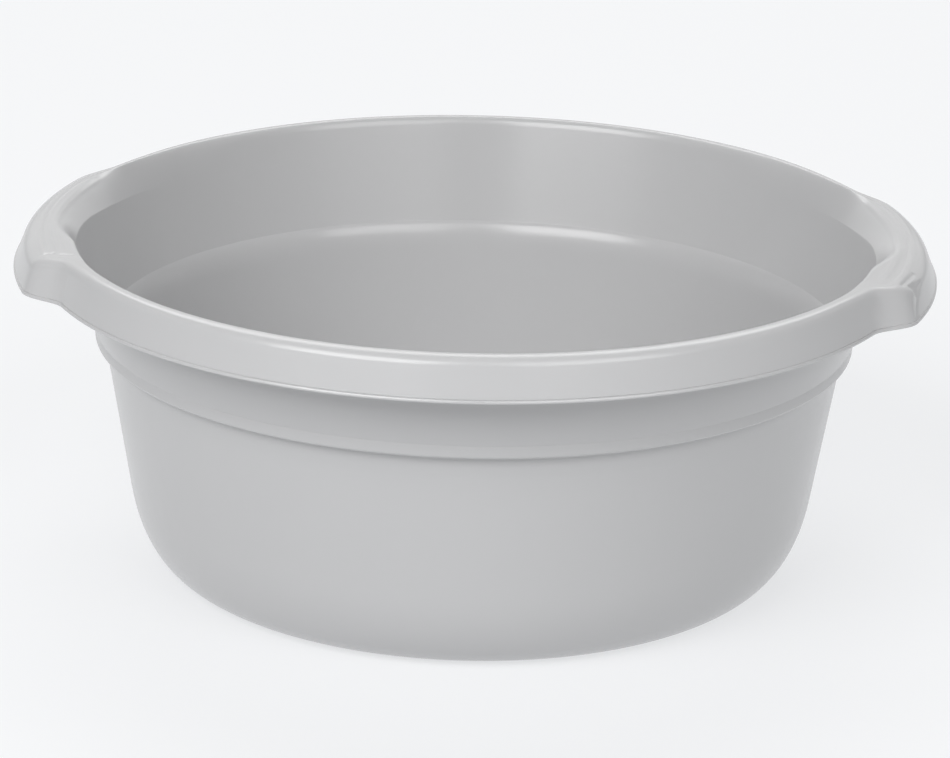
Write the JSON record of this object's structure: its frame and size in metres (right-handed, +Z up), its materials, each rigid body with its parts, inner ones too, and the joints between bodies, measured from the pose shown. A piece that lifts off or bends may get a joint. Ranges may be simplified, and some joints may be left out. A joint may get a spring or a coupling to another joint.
{
  "type": "washing up bowl",
  "caption": "Round plastic washing up bowl with a handle wing on each side, a hollow beaded rim and a stacking step.",
  "frame": {"origin": "middle of the foot ring, on the surface the bowl stands on", "axes": "+Z up through the bowl, +X through the middle of the right-hand handle wing, -Y towards the picture's camera"},
  "size_m": [0.3812, 0.3604, 0.1438],
  "materials": {
    "shell": "semi-gloss injection-moulded polypropylene, pale neutral grey"
  },
  "bodies": {
    "root": {"base_panel": "shell", "foot_ring": "shell", "base_curve": "shell", "lower_wall": "shell", "step_shoulder": "shell", "upper_wall": "shell", "rim_crest": "shell", "front_skirt": "shell", "back_skirt": "shell", "front_lip": "shell", "back_lip": "shell", "right_deck": "shell", "right_apron": "shell", "right_lip": "shell", "right_inner_ridge": "shell", "right_outer_ridge": "shell", "left_deck": "shell", "left_apron": "shell", "left_lip": "shell", "left_inner_ridge": "shell", "left_outer_ridge": "shell"}
  },
  "joints": []
}
